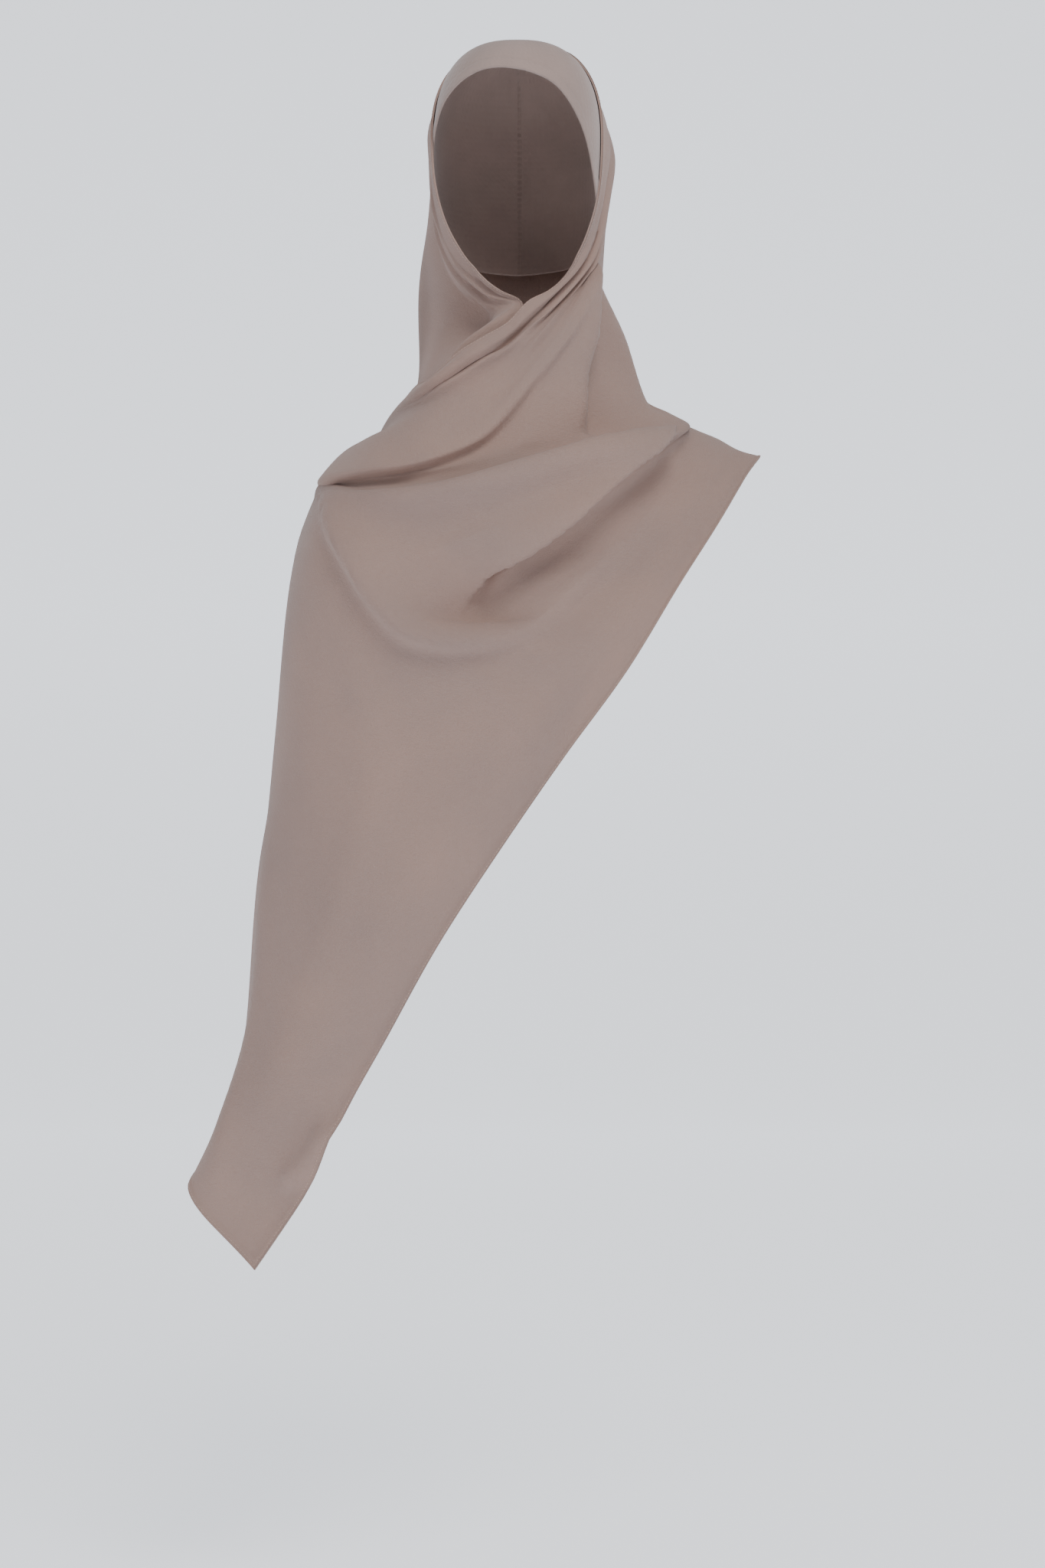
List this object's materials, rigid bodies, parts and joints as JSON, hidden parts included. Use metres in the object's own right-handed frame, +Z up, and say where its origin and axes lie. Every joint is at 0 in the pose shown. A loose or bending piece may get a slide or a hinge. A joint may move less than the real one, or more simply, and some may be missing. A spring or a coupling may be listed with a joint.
{
  "type": "chiffon hijab with underscarf cap",
  "caption": "Draped chiffon headscarf over a jersey cap, wrapped round the face, crossed under the chin and hung over one shoulder to a long end.",
  "frame": {"origin": "the crown of the head that wears it, at the inside of the cap's top", "axes": "+Z up, -Y the front that the face looks to, +X the wearer's left, towards the viewer's right"},
  "size_m": [0.5411, 0.3264, 1.1502],
  "materials": {
    "taupe_chiffon": "matte crinkled chiffon",
    "taupe_jersey": "matte jersey knit",
    "dull_metal": "dull nickel"
  },
  "bodies": {
    "root": {"scarf": "taupe_chiffon", "undercap": "taupe_jersey", "chin_clasp": "dull_metal"}
  },
  "joints": []
}
